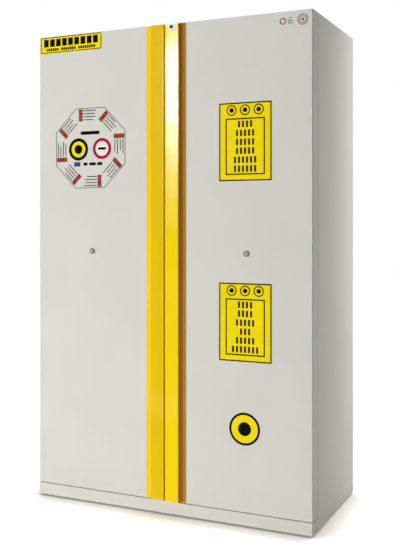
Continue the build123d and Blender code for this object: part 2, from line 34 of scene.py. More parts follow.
import bmesh
import bpy
from bpy.props import FloatProperty, FloatVectorProperty, IntProperty, PointerProperty
from mathutils import Vector

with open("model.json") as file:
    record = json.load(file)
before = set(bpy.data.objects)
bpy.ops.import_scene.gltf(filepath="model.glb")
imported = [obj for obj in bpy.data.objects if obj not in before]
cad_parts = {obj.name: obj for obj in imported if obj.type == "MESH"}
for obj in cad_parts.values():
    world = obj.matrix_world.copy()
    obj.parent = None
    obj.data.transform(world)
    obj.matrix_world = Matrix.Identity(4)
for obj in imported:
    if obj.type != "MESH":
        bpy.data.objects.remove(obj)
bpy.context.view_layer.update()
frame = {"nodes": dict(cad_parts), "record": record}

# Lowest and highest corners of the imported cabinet's nodes, in metres
SKIN_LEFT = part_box("door_skin_left")
SKIN_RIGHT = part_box("door_skin_right")
LINING_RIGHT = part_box("door_lining_right")
HANDLE_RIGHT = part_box("door_handle_right")
FRONT_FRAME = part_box("front_frame")
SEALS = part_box("frame_seals")
BACK_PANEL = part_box("back_panel")
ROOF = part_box("roof_panel")
SPIGOTS = (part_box("exhaust_spigot"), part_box("intake_spigot"))
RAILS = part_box("shelf_rails")
DOOR_FACE = SKIN_LEFT[0].y


def linear(red, green, blue):
    """A scene-linear colour from three screen levels out of 255."""
    return tuple(
        level / 255 / 12.92 if level <= 10 else ((level / 255 + 0.055) / 1.055) ** 2.4
        for level in (red, green, blue)
    )


def colour(name, description, levels):
    """A colour setting with its default given as screen levels."""
    return FloatVectorProperty(
        name=name, description=description, subtype="COLOR", size=3, min=0, max=1, default=linear(*levels)
    )


def length(name, description, default, low=0.0001, high=20.0):
    """A length setting in metres."""
    return FloatProperty(
        name=name, description=description, unit="LENGTH", subtype="DISTANCE",
        default=default, min=low, max=high, precision=4,
    )


def lamp_power(name, description, default):
    """A setting for the power of a lamp."""
    return FloatProperty(name=name, description=description, unit="POWER", default=default, min=0)


def fraction(name, description, default):
    """A setting from 0 to 1."""
    return FloatProperty(
        name=name, description=description, subtype="FACTOR", default=default, min=0, max=1
    )


# Settings


class CabinetPaints(bpy.types.PropertyGroup):
    """Colours and surface sizes of the cabinet's finishes."""

    door: colour("Outer paint", "Powder coat of the doors and the carcass", (218, 217, 210))
    # The two handle coats are lit and shaded copies of one yellow paint: the right one's paler tone is
    # painted light from the sheen on its face, the left one's deeper tone painted shade
    handle_left: colour("Left handle paint", "Gloss coat of the left handle", (237, 197, 0))
    handle_right: colour("Right handle paint", "Paler gloss coat of the right handle", (252, 219, 0))
    # The groove and rim colours are painted shade: the right handle's finger groove shown in shadow, deep
    # orange by the lip and brown at the rim
    groove: colour("Handle groove", "Worn paint deep in the right handle's finger groove", (240, 158, 0))
    groove_rim_shade: colour("Groove rim", "Worn paint along the rim of that groove", (172, 134, 66))
    inside: colour("Inner paint", "Powder coat of the trays and the air baffle", (216, 218, 217))
    lining: colour("Lining board", "Laminate on the walls of the compartments", (226, 226, 222))
    board: colour("Insulating board", "Mineral board inside the walls and the doors", (205, 200, 186))
    spigot: colour("Spigots", "Coat of the two round spigots", (196, 198, 199))
    sealant: colour("Sealant", "Sealant round the spigots' flanges", (205, 204, 198))
    rubber: colour("Seals", "Rubber of the seals", (46, 46, 47))
    strip: colour("Expansion strip", "Strip that swells in a fire and seals the gap", (96, 94, 92))
    plastic: colour("Bearing plastic", "Nylon of the bushes and the rod guides", (58, 58, 60))
    zinc: colour("Zinc", "Zinc plating of the small steel parts", (186, 188, 190))
    # The rims' darker chrome is painted shade round the proud housings, and the plugs' lighter chrome
    # painted light; both parts are one satin chrome
    lock_housing: colour("Lock rims", "Dark satin chrome of the locks' rims", (102, 100, 94))
    lock_rotor: colour("Lock plugs", "Satin chrome of the plugs that the keys turn", (146, 143, 135))
    dust: colour("Dust", "Dust on level and low surfaces", (176, 170, 158))
    peel: length("Peel size", "Width of the ripples in the powder coat", 0.0022)
    cloud: length("Cloud size", "Width of the faint colour clouds in the paint", 0.28)
    handle_face: length("Handle face", "Width of the right handle's front, up to its groove", 0.057)


class CabinetSigns(bpy.types.PropertyGroup):
    """Sizes, places and colours of the plain signs on the doors."""

    film: length("Film thickness", "How far a sign stands out from the door", 0.0003)
    ink: length("Ink thickness", "How far a printed mark stands out from its film", 0.00015, 0.00001)
    column: length("Sign column", "Distance of the signs' middle from the middle of the cabinet", 0.3345)
    sheet_width: length("Sheet width", "Width of the two upright sheets", 0.2135)
    sheet_height: length("Sheet height", "Height of the two upright sheets", 0.3)
    upper_sheet: length("Upper sheet", "Level of the upper sheet's middle", 1.4675)
    lower_sheet: length("Lower sheet", "Level of the lower sheet's middle", 0.779)
    sheet_line: length("Sheet line", "Width of the lines round and in the two sheets", 0.005)
    block_pitch: length("Block pitch", "Distance between two upright blocks of a row", 0.0163)
    block_width: length("Block width", "Width of an upright block", 0.0082)
    block_height: length("Block height", "Height of an upright block", 0.0245)
    disc_level: length("Disc level", "Level of the round sign's middle", 0.374)
    disc_radius: length("Disc radius", "Radius of the round sign", 0.0625)
    disc_rim: length("Disc rim", "Width of the round sign's dark rim", 0.009)
    disc_dot: length("Disc dot", "Radius of the dot in the round sign", 0.0265)
    octagon_x: length("Octagon place", "Distance of the octagon from the middle of the cabinet", 0.3505)
    octagon_level: length("Octagon level", "Level of the octagon's middle", 1.4675)
    octagon_span: length("Octagon span", "Width of the octagon across its flats", 0.332)
    plate_width: length("Plate width", "Width of the plate in the upper left corner", 0.301)
    plate_height: length("Plate height", "Height of the plate in the upper left corner", 0.07)
    yellow: colour("Sign yellow", "Film of the yellow signs", (252, 228, 20))
    black: colour("Ink black", "Ink of the lines and bars", (12, 11, 9))
    white: colour("White film", "Film of the white marks", (240, 240, 236))
    red: colour("Ink red", "Ink of the red marks", (178, 32, 52))
    blue: colour("Ink blue", "Ink of the blue mark", (66, 72, 150))
    brown: colour("Ink brown", "Ink of the brown marks", (134, 82, 60))


class CabinetFixings(bpy.types.PropertyGroup):
    """Sizes and spacing of the rivets, screws and strips."""

    rivet_radius: length("Rivet radius", "Radius of a rivet's head", 0.004)
    rivet_flatness: fraction("Rivet flatness", "Height of a rivet's head over its radius", 0.38)
    rivet_pitch: length("Rivet pitch", "Greatest distance between two rivets of a row", 0.155)
    side_inset: length("Side inset", "Distance of rivets from the sides of the roof and linings", 0.0125)
    back_inset: length("Back inset", "Distance of the back's rivets from its edges", 0.022)
    frame_inset: length("Frame inset", "Distance of the front frame's rivets from its sides", 0.0065)
    lining_inset: length("Lining inset", "Distance of the linings' rivets from their ends", 0.0105)
    screw_radius: length("Screw radius", "Radius of a screw's head", 0.0036)
    screw_height: length("Screw height", "Height of a screw's head", 0.0018)
    screw_sides: IntProperty(
        name="Screw sides", description="Faces round a screw's head", default=20, min=6, max=64
    )
    turn_seed: IntProperty(name="Turn seed", description="Seed of the screws' random turns", default=4)
    slot_pitch: length("Slot pitch", "Distance between the slots of the shelf rails", 0.064)
    rail_end: length("Rail screw inset", "Distance of a screw from the end of its shelf rail", 0.012)
    flange_inset: length("Flange screw inset", "Distance of a screw from the edge of its flange", 0.0065)
    flange_thickness: length("Flange thickness", "Thickness of the spigots' flanges", 0.002)
    strip_width: length("Strip width", "Width of the expansion strips", 0.008)
    strip_thickness: length("Strip thickness", "Thickness of the expansion strips", 0.0016)
    strip_gap: length("Strip gap", "Gap between a strip and the seal or strip beside it", 0.001)
    bead_radius: length("Sealant radius", "Radius of the sealant round the spigots' flanges", 0.0018)


class CabinetStage(bpy.types.PropertyGroup):
    """Light, floor and camera of the studio."""

    key_power: lamp_power("Key light", "Power of the large light at the front left", 1850.0)
    fill_power: lamp_power("Fill light", "Power of the low light in front of the doors", 2.5)
    top_power: lamp_power("Top light", "Power of the large light over the roof", 9.0)
    rear_power: lamp_power("Rear light", "Power of the light behind the cabinet", 120.0)
    side_power: lamp_power("Side light", "Power of the light at the right rear", 11.5)
    gloss_power: lamp_power("Gloss light", "Power of each metre of the right handle's light", 61.0)
    gloss_width: length("Gloss light width", "Width of the right handle's light", 0.125)
    sky: fraction("Surrounding light", "Strength of the even light all round", 0.13)
    sky_tint: colour("Surrounding tint", "Colour of the even light all round", (255, 252, 244))
    floor: colour("Floor", "Colour of the floor", (249, 247, 243))
    floor_reach: length("Floor reach", "Distance from the middle of the floor to its sides", 14.0)
    floor_glow: fraction("Floor glow", "White added to the lit floor where the camera sees it", 0.74)
    glow_start: length("Glow start", "Radius at which the floor starts to whiten", 1.1)
    glow_end: length("Glow end", "Radius at which the floor is white", 3.6)
    contact_reach: length("Contact reach", "Reach of the soft shadow at the cabinet's foot", 0.15)
    contact_tone: fraction("Contact tone", "Share of the floor's glow at the cabinet's foot", 0.2)
    contact_tint: colour("Contact tint", "Tint of the floor's glow at the cabinet's foot", (255, 240, 222))
    camera_place: FloatVectorProperty(
        name="Camera place", description="Where the camera stands", subtype="TRANSLATION", unit="LENGTH",
        size=3, default=(1.5308, -3.4005, 1.1623),
    )
    camera_turn: FloatProperty(
        name="Camera turn", description="How far the camera is turned to the left", subtype="ANGLE",
        unit="ROTATION", default=math.radians(25.614),
    )
    camera_shift: FloatVectorProperty(
        name="Camera shift", description="Shift of the frame to the right and up, as a share of its height",
        size=2, default=(0.0457, -0.0946),
    )
    focal_length: FloatProperty(
        name="Focal length", description="Focal length for a sensor 36 mm high", unit="CAMERA",
        default=57.54, min=10, max=200,
    )


SETTINGS = {
    "cabinet_paints": CabinetPaints,
    "cabinet_signs": CabinetSigns,
    "cabinet_fixings": CabinetFixings,
    "cabinet_stage": CabinetStage,
}

# Lamps: the place of each, the point that it is turned to, its width and its height, in metres
LAMPS = {
    "key": ((-10.4, -9.7, 0.95), (0.0, -0.3, 0.95), 4.2, 1.8),
    "fill": ((-0.4, -1.7, 0.12), (0.0, -0.3, 0.3), 1.8, 0.15),
    "top": ((0.0, 0.1, 3.1), (0.0, 0.1, 1.9), 1.6, 0.9),
    "rear": ((-3.5, 8.5, 1.6), (0.0, 0.3, 0.95), 4.0, 2.4),
    "side": ((1.05, 0.85, 1.2), (0.6, 0.25, 1.1), 0.4, 2.3),
}

# The lamps that no glossy surface mirrors
MATT_ONLY = ("key", "side")

# The gloss light's place, the levels at which its bands meet, and each band's share of its power
GLOSS_PLACE = (-1.455, -3.4)
GLOSS_LEVELS = (1.12, 1.36, 1.56, 1.76, 1.94, 2.56, 2.84)
GLOSS_SHARES = (0.05, 0.14, 0.3, 0.58, 1.0, 0.35)

# The signs' films and inks, in the order of their material slots
INKS = ("yellow", "black", "white", "red", "blue", "brown")
YELLOW, BLACK, WHITE, RED, BLUE, BROWN = range(len(INKS))

# How deep films and strips reach into the face that they lie on
FILM_SINK = 0.0001
STRIP_SINK = 0.0002

# Where the groove's painted shade sets in, measured from its lip
GROOVE_BLEND = (-0.0008, -0.0002)

# Shares of open space over the floor between which its contact shadow fades out
OPEN_SHARES = (0.4, 0.95)

# Dust: its share at the floor, its least share in a gap, and how much it roughens a coat
LOW_DUST = 0.55
LEAST_DUST = 0.35
DUST_ROUGHNESS = 0.6


# Node trees


def feed(tree, socket, value):
    """Links a socket to another one, or sets it to a plain value."""
    if isinstance(value, bpy.types.NodeSocket):
        tree.links.new(value, socket)
    else:
        socket.default_value = (*value, 1) if socket.type == "RGBA" else value


def fill(tree, node, *values, **named):
    """Feeds a node's inputs in their order, or by their names with _ in place of a space."""
    for socket, value in zip(node.inputs, values):
        feed(tree, socket, value)
    for name, value in named.items():
        feed(tree, node.inputs[name.replace("_", " ")], value)
    return node


def add_node(tree, kind, *values, **named):
    """A new node. Names in small letters are its settings, and all else goes to its inputs."""
    node = tree.nodes.new(kind)
    for name in [name for name in named if name.islower()]:
        setattr(node, name, named.pop(name))
    return fill(tree, node, *values, **named)


def new_tree(name, kind, inputs, outputs):
    """An empty node tree with its sockets, given as (name, type) or (name, type, default)."""
    tree = bpy.data.node_groups.new(name, kind)
    for direction, sockets in (("INPUT", inputs), ("OUTPUT", outputs)):
        for label, form, *default in sockets:
            socket = tree.interface.new_socket(label, in_out=direction, socket_type=f"NodeSocket{form}")
            if default:
                socket.default_value = default[0]
    return tree, tree.nodes.new("NodeGroupInput"), tree.nodes.new("NodeGroupOutput")


def shared_tree(name):
    """One of the trees listed in TREES, built on its first use."""
    return bpy.data.node_groups.get(name) or TREES[name](name)


def math_node(tree, operation, first, second):
    """A Math node whose two inputs are sockets or numbers."""
    return add_node(tree, "ShaderNodeMath", first, second, operation=operation).outputs[0]


def range_node(tree, value, old=(0.0, 1.0), new=(0.0, 1.0), smooth=False):
    """A Map Range node that clamps its result."""
    kind = "SMOOTHSTEP" if smooth else "LINEAR"
    return add_node(tree, "ShaderNodeMapRange", value, *old, *new, interpolation_type=kind).outputs[0]


def noise_node(tree, place, scale, detail):
    """A noise texture, from 0 to 1."""
    return add_node(tree, "ShaderNodeTexNoise", Vector=place, Scale=scale, Detail=detail).outputs["Fac"]


def axis_of(tree, vector, axis):
    """One of a vector's three parts."""
    return add_node(tree, "ShaderNodeSeparateXYZ", vector).outputs[axis]


def powder_grain(name):
    """Ripples of a powder coat and the faint clouds in its colour."""
    tree, start, end = new_tree(
        name, "ShaderNodeTree",
        [("Place", "Vector"), ("Peel Size", "Float", 0.002), ("Cloud Size", "Float", 0.3)],
        [("Height", "Float"), ("Cloud", "Float"), ("Speckle", "Float")],
    )
    place = start.outputs["Place"]
    peel, clouds = (
        noise_node(tree, place, math_node(tree, "DIVIDE", 1.0, start.outputs[size]), detail)
        for size, detail in (("Peel Size", 1.0), ("Cloud Size", 3.0))
    )
    cloud = range_node(tree, clouds, (0.3, 0.7), smooth=True)
    fill(tree, end, Height=peel, Cloud=cloud, Speckle=range_node(tree, peel, (0.35, 0.65)))
    return tree


def settled_dust(name):
    """Dust that gathers on level surfaces and low on the upright ones."""
    tree, start, end = new_tree(
        name, "ShaderNodeTree",
        [("Place", "Vector"), ("Low Level", "Float", 0.25), ("Amount", "Float", 0.2)],
        [("Mask", "Float")],
    )
    place = start.outputs["Place"]
    nearness = math_node(tree, "DIVIDE", axis_of(tree, place, "Z"), start.outputs["Low Level"])
    low = range_node(tree, nearness, new=(LOW_DUST, 0.0), smooth=True)
    normal = tree.nodes.new("ShaderNodeNewGeometry").outputs["Normal"]
    level = range_node(tree, axis_of(tree, normal, "Z"), (0.6, 0.95), smooth=True)
    patches = noise_node(tree, place, scale=14.0, detail=5.0)
    ragged = range_node(tree, patches, (0.35, 0.7), (LEAST_DUST, 1.0), smooth=True)
    mask = math_node(tree, "MULTIPLY", math_node(tree, "MAXIMUM", low, level), ragged)
    fill(tree, end, Mask=math_node(tree, "MULTIPLY", mask, start.outputs["Amount"]))
    return tree


def zinc_crystals(name):
    """The crystals of a zinc coating, as a tone and a height."""
    tree, start, end = new_tree(
        name, "ShaderNodeTree",
        [("Place", "Vector"), ("Crystal Size", "Float", 0.01)],
        [("Tone", "Float"), ("Height", "Float")],
    )
    scale = math_node(tree, "DIVIDE", 1.0, start.outputs["Crystal Size"])
    cells = add_node(tree, "ShaderNodeTexVoronoi", Vector=start.outputs["Place"], Scale=scale)
    tone = add_node(tree, "ShaderNodeSeparateColor", cells.outputs["Color"]).outputs[0]
    fill(tree, end, Tone=tone, Height=cells.outputs["Distance"])
    return tree


def fine_lines(name):
    """Fine lines left by brushing or turning, along one axis of the pattern."""
    tree, start, end = new_tree(
        name, "ShaderNodeTree",
        [("Place", "Vector"), ("Stretch", "Vector", (2000.0, 2000.0, 30.0))],
        [("Tone", "Float")],
    )
    scaled = add_node(tree, "ShaderNodeVectorMath", start.outputs["Place"], start.outputs["Stretch"],
                      operation="MULTIPLY")
    fill(tree, end, Tone=noise_node(tree, scaled.outputs[0], scale=1.0, detail=3.0))
    return tree


# Finishes


def new_finish(name, base, roughness, **constants):
    """A material with its coordinates and its Principled BSDF, which holds the plain values itself."""
    material = bpy.data.materials.new(name)
    material.use_nodes = True
    tree = material.node_tree
    tree.nodes.new("ShaderNodeTexCoord").name = "place"
    shader = fill(tree, tree.nodes["Principled BSDF"], Base_Color=base, Roughness=roughness, **constants)
    return material, tree, shader


def place_socket(tree):
    """Object coordinates, which are metres in the cabinet's own frame."""
    return tree.nodes["place"].outputs["Object"]


def use_group(tree, name, **values):
    """Places a shared group in a material with its own values."""
    values["Place"] = place_socket(tree)
    return add_node(tree, "ShaderNodeGroup", node_tree=shared_tree(name), **values)


def blend_colours(tree, factor, first, second):
    """A mix of two colours, each a socket or a plain colour."""
    node = add_node(tree, "ShaderNodeMix", factor, data_type="RGBA")
    feed(tree, node.inputs[6], first)
    feed(tree, node.inputs[7], second)
    return node.outputs[2]


def shade(base, factor):
    """A colour made lighter or darker by a factor."""
    return tuple(min(1.0, channel * factor) for channel in base)


def surface(tree, shader, tone, rough, height, depth):
    """Feeds a colour, a roughness and a height from 0 to 1, whose relief is some depth in metres."""
    relief = add_node(tree, "ShaderNodeBump", Strength=1.0, Distance=depth, Height=height)
    fill(tree, shader, Base_Color=tone, Roughness=rough, Normal=relief.outputs["Normal"])


def powder_coat(name, base, roughness, dust=0.25, relief=0.00002, spread=0.05, **constants):
    """A powder coat: rippled, faintly clouded, and a little dusty low down and on top."""
    paints = bpy.context.scene.cabinet_paints
    material, tree, shader = new_finish(name, base, roughness, **constants)
    grain = use_group(tree, "Powder grain", Peel_Size=paints.peel, Cloud_Size=paints.cloud)
    cloud, settled = grain.outputs["Cloud"], use_group(tree, "Settled dust", Amount=dust).outputs["Mask"]
    tone = blend_colours(tree, cloud, shade(base, 1 - spread / 2), shade(base, 1 + spread / 4))
    rough = range_node(tree, cloud, new=(roughness - 0.03, roughness + 0.04))
    rougher = math_node(tree, "ADD", rough, math_node(tree, "MULTIPLY", settled, DUST_ROUGHNESS))
    dusty = blend_colours(tree, settled, tone, paints.dust)
    surface(tree, shader, dusty, rougher, grain.outputs["Height"], relief)
    return material


def zinc_coat(name, base, roughness, crystal):
    """Zinc plating or galvanising with crystals of a given size."""
    material, tree, shader = new_finish(name, base, roughness, Metallic=1.0)
    crystals = use_group(tree, "Zinc crystals", Crystal_Size=crystal)
    tone = blend_colours(tree, crystals.outputs["Tone"], shade(base, 0.84), shade(base, 1.08))
    rough = range_node(tree, crystals.outputs["Tone"], new=(roughness - 0.08, roughness + 0.1))
    surface(tree, shader, tone, rough, crystals.outputs["Height"], crystal * 0.004)
    return material


def satin_metal(name, base, roughness, stretch):
    """Satin chrome or steel with fine lines."""
    material, tree, shader = new_finish(name, base, roughness, Metallic=1.0)
    lines = use_group(tree, "Fine lines", Stretch=stretch).outputs["Tone"]
    tone = blend_colours(tree, lines, shade(base, 0.86), shade(base, 1.1))
    rough = range_node(tree, lines, (0.3, 0.7), (roughness - 0.07, roughness + 0.1))
    surface(tree, shader, tone, rough, lines, 0.000004)
    return material


def speckled(name, base, roughness, grain, relief, spread=0.12):
    """A matt board, rubber or moulded plastic with a fine grain of a given size."""
    material, tree, shader = new_finish(name, base, roughness)
    pattern = use_group(tree, "Powder grain", Peel_Size=grain, Cloud_Size=grain * 40)
    speckle = pattern.outputs["Speckle"]
    clouds = blend_colours(tree, pattern.outputs["Cloud"], shade(base, 1 - spread), base)
    tone = blend_colours(tree, math_node(tree, "MULTIPLY", speckle, 0.5), clouds, shade(base, 1 + spread))
    rough = range_node(tree, speckle, new=(roughness - 0.05, roughness + 0.05))
    surface(tree, shader, tone, rough, pattern.outputs["Height"], relief)
    return material


def sign_film(name, base, roughness=0.5):
    """Printed film with a faint gloss, hardly rippled."""
    material, tree, shader = new_finish(name, base, roughness, Specular_IOR_Level=0.0, Coat_Weight=0.05,
                                        Coat_Roughness=0.15)
    grain = use_group(tree, "Powder grain", Peel_Size=0.004, Cloud_Size=0.06)
    tone = blend_colours(tree, grain.outputs["Cloud"], shade(base, 0.965), shade(base, 1.01))
    surface(tree, shader, tone, roughness, grain.outputs["Height"], 0.000012)
    return material


def sign_finishes():
    """The materials of the films and inks, made on their first use."""
    signs, made = bpy.context.scene.cabinet_signs, bpy.data.materials
    return [made.get(f"sign_{ink}") or sign_film(f"sign_{ink}", getattr(signs, ink)) for ink in INKS]


def dress(nodes, material):
    """Gives CAD nodes their finish."""
    for node in nodes:
        for slot in frame["nodes"][node].material_slots:
            slot.material = material


def nodes_in(slot):
    """The CAD nodes that take their finish from one slot of the record."""
    return [part["node"] for part in frame["record"]["subparts"] if part["material_slot"] == slot]


# Pieces


def add_object(name, data):
    """A new object in the scene."""
    item = bpy.data.objects.new(name, data)
    bpy.context.scene.collection.objects.link(item)
    return item


def add_piece(name, source, materials, body):
    """Makes a piece from a bmesh or a mesh, and gives it its finishes and its body."""
    mesh = source
    if isinstance(source, bmesh.types.BMesh):
        mesh = bpy.data.meshes.new(name)
        source.to_mesh(mesh)
        source.free()
    if not mesh.materials:
        for material in materials:
            mesh.materials.append(material)
    piece = add_object(name, mesh)
    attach(piece, body)
    return piece


# Outlines of the signs, which lie in the XZ plane and run anticlockwise seen from the front


def bar_outline(x, z, wide, high):
    """A rectangle round its middle."""
    corners = ((-1, -1), (1, -1), (1, 1), (-1, 1))
    return [(x + way_x * wide / 2, z + way_z * high / 2) for way_x, way_z in corners]


def round_outline(x, z, wide, high, radius, steps=6):
    """A rectangle with rounded corners."""
    points = []
    for corner, (way_x, way_z) in enumerate(((1, -1), (1, 1), (-1, 1), (-1, -1))):
        centre_x, centre_z = x + way_x * (wide / 2 - radius), z + way_z * (high / 2 - radius)
        for step in range(steps + 1):
            angle = math.radians(90 * (corner - 1 + step / steps))
            points.append((centre_x + radius * math.cos(angle), centre_z + radius * math.sin(angle)))
    return points


def circle_outline(x, z, radius, sides=48, turn=0.0):
    """A regular polygon, or a circle when it has many sides."""
    angles = [turn + 2 * math.pi * step / sides for step in range(sides)]
    return [(x + radius * math.cos(angle), z + radius * math.sin(angle)) for angle in angles]


def turned(points, x, z, angle):
    """Points given round a middle, turned and moved to a place."""
    cos, sin = math.cos(angle), math.sin(angle)
    return [(x + px * cos - pz * sin, z + px * sin + pz * cos) for px, pz in points]


class Layers:
    """A mesh of thin films and inks on one upright face, each a closed prism."""

    def __init__(self, face):
        signs = bpy.context.scene.cabinet_signs
        self.mesh = bmesh.new()
        self.levels = [(face - signs.film, face + FILM_SINK)]
        for layer in (1, 2):
            low = face - signs.film - layer * signs.ink
            self.levels.append((low, low + 1.5 * signs.ink))

    def _loops(self, points, layer):
        """The front and the back loop of an outline."""
        return [[self.mesh.verts.new((x, y, z)) for x, z in points] for y in self.levels[layer]]

    def _face(self, corners, ink):
        self.mesh.faces.new(corners).material_index = ink

    def _walls(self, front, back, ink):
        for here in range(len(front)):
            after = (here + 1) % len(front)
            self._face((front[here], back[here], back[after], front[after]), ink)

    def solid(self, points, ink, layer=1):
        """A filled shape."""
        front, back = self._loops(points, layer)
        self._face(front, ink)
        self._face(back[::-1], ink)
        self._walls(front, back, ink)

    def ring(self, outer, inner, ink, layer=1):
        """A band between two outlines of the same number of points."""
        (out_front, out_back), (in_front, in_back) = self._loops(outer, layer), self._loops(inner, layer)
        for here in range(len(outer)):
            after = (here + 1) % len(outer)
            self._face((out_front[here], out_front[after], in_front[after], in_front[here]), ink)
            self._face((in_back[here], in_back[after], out_back[after], out_back[here]), ink)
        self._walls(out_front, out_back, ink)
        self._walls(in_front[::-1], in_back[::-1], ink)

    def border(self, x, z, wide, high, line, ink):
        """A rectangular line."""
        inner = bar_outline(x, z, wide - 2 * line, high - 2 * line)
        self.ring(bar_outline(x, z, wide, high), inner, ink)

    def circle_line(self, x, z, radius, line, ink, layer=1):
        """A round line."""
        self.ring(circle_outline(x, z, radius), circle_outline(x, z, radius - line), ink, layer)

    def stick(self, name, body):
        """Turns the layers into a piece that rides on a body."""
        add_piece(name, self.mesh, sign_finishes(), body)


# Rivets and screws


def place_heads(tree, start, end, head, seed=None):
    """Sets one head on each point, turned to the way that the point faces, and ends the tree."""
    facing = add_node(tree, "GeometryNodeInputNamedAttribute", data_type="FLOAT_VECTOR", Name="facing")
    way = facing.outputs["Attribute"]
    rotation = add_node(tree, "FunctionNodeAlignRotationToVector", axis="Z", Vector=way).outputs["Rotation"]
    if seed is not None:
        turn = add_node(tree, "FunctionNodeRandomValue", data_type="FLOAT", Seed=seed)
        least, most = [socket for socket in turn.inputs if socket.enabled and socket.name in ("Min", "Max")]
        least.default_value, most.default_value = 0.0, math.pi
        angle = next(socket for socket in turn.outputs if socket.enabled)
        spin = add_node(tree, "FunctionNodeAxisAngleToRotation", Axis=(0, 0, 1), Angle=angle)
        local = add_node(tree, "FunctionNodeRotateRotation", rotation_space="LOCAL", Rotation=rotation,
                         Rotate_By=spin.outputs["Rotation"])
        rotation = local.outputs["Rotation"]
    place = add_node(tree, "GeometryNodeInstanceOnPoints", start.outputs["Geometry"], Instance=head,
                     Rotation=rotation)
    real = add_node(tree, "GeometryNodeRealizeInstances", place.outputs["Instances"])
    coat = add_node(tree, "GeometryNodeSetMaterial", real.outputs[0], Material=start.outputs["Material"])
    fill(tree, end, coat.outputs[0])


def rivet_heads(name):
    """Low domed heads."""
    tree, start, end = new_tree(
        name, "GeometryNodeTree",
        [("Geometry", "Geometry"), ("Radius", "Float", 0.003), ("Flatness", "Float", 0.4),
         ("Material", "Material")],
        [("Geometry", "Geometry")],
    )
    dome = add_node(tree, "GeometryNodeMeshUVSphere", Segments=14, Rings=8, Radius=start.outputs["Radius"])
    scale = add_node(tree, "ShaderNodeCombineXYZ", 1.0, 1.0, start.outputs["Flatness"])
    flat = add_node(tree, "GeometryNodeTransform", Geometry=dome.outputs["Mesh"], Scale=scale.outputs[0])
    smooth = add_node(tree, "GeometryNodeSetShadeSmooth", Geometry=flat.outputs[0])
    place_heads(tree, start, end, smooth.outputs[0])
    return tree


def screw_heads(name):
    """Pan heads with a recess, each turned at random."""
    tree, start, end = new_tree(
        name, "GeometryNodeTree",
        [("Geometry", "Geometry"), ("Radius", "Float", 0.0035), ("Height", "Float", 0.002),
         ("Sides", "Int", 18), ("Seed", "Int", 1), ("Material", "Material")],
        [("Geometry", "Geometry")],
    )
    radius, height = start.outputs["Radius"], start.outputs["Height"]
    drum = add_node(tree, "GeometryNodeMeshCone", Vertices=start.outputs["Sides"], Depth=height,
                    Radius_Bottom=radius, Radius_Top=math_node(tree, "MULTIPLY", radius, 0.78))
    rim = add_node(tree, "GeometryNodeExtrudeMesh", mode="FACES", Mesh=drum.outputs["Mesh"],
                   Selection=drum.outputs["Top"], Offset_Scale=0.0)
    shrink = add_node(tree, "GeometryNodeScaleElements", Geometry=rim.outputs["Mesh"],
                      Selection=rim.outputs["Top"], Scale=0.55)
    recess = add_node(tree, "GeometryNodeExtrudeMesh", mode="FACES", Mesh=shrink.outputs["Geometry"],
                      Selection=rim.outputs["Top"], Offset_Scale=math_node(tree, "MULTIPLY", height, -0.55))
    place_heads(tree, start, end, recess.outputs["Mesh"], start.outputs["Seed"])
    return tree


TREES = {
    "Powder grain": powder_grain,
    "Settled dust": settled_dust,
    "Zinc crystals": zinc_crystals,
    "Fine lines": fine_lines,
    "Rivet heads": rivet_heads,
    "Screw heads": screw_heads,
}


def row(start, end, pitch):
    """Evenly spaced points between two ends, both included, no farther apart than the pitch."""
    start, end = Vector(start), Vector(end)
    steps = max(1, math.ceil((end - start).length / pitch))
    return [start.lerp(end, step / steps) for step in range(steps + 1)]


def loop(x0, x1, y, z0, z1, pitch):
    """Evenly spaced points round an upright rectangle."""
    corners = [(x0, y, z0), (x1, y, z0), (x1, y, z1), (x0, y, z1)]
    sides = zip(corners, corners[1:] + corners[:1])
    return [point for here, after in sides for point in row(here, after, pitch)[:-1]]


def islands(node):
    """The boxes of a CAD node's separate solids."""
    copy = bmesh.new()
    copy.from_mesh(frame["nodes"][node].data)
    bmesh.ops.remove_doubles(copy, verts=copy.verts, dist=0.00001)
    seen, boxes = set(), []
    for first in copy.verts:
        if first in seen:
            continue
        found, edge = set(), {first}
        while edge:
            found |= edge
            edge = {other.other_vert(vertex) for vertex in edge for other in vertex.link_edges} - found
        seen |= found
        places = [[vertex.co[axis] for vertex in found] for axis in range(3)]
        boxes.append([Vector([end(values) for values in places]) for end in (min, max)])
    copy.free()
    return boxes


def add_heads(name, tree_name, points, body, slot, material, **inputs):
    """Runs one of the trees on points given as (place, way it faces), and keeps the result as a mesh."""
    base = bpy.data.meshes.new(name)
    base.from_pydata([place for place, _ in points], [], [])
    facing = base.attributes.new("facing", "FLOAT_VECTOR", "POINT")
    facing.data.foreach_set("vector", [value for _, way in points for value in way])
    holder = add_object(name, base)
    modifier = holder.modifiers.new(tree_name, "NODES")
    modifier.node_group = shared_tree(tree_name)
    inputs["Material"] = material
    for item in modifier.node_group.interface.items_tree:
        if item.item_type == "SOCKET" and item.in_out == "INPUT" and item.name in inputs:
            modifier[item.identifier] = inputs[item.name]
    graph = bpy.context.evaluated_depsgraph_get()
    mesh = bpy.data.meshes.new_from_object(holder.evaluated_get(graph))
    if len(mesh.polygons) < len(points):
        raise RuntimeError(f"{name} came out empty")
    bpy.data.objects.remove(holder)
    add_piece(name, mesh, [material], body)


# Operators


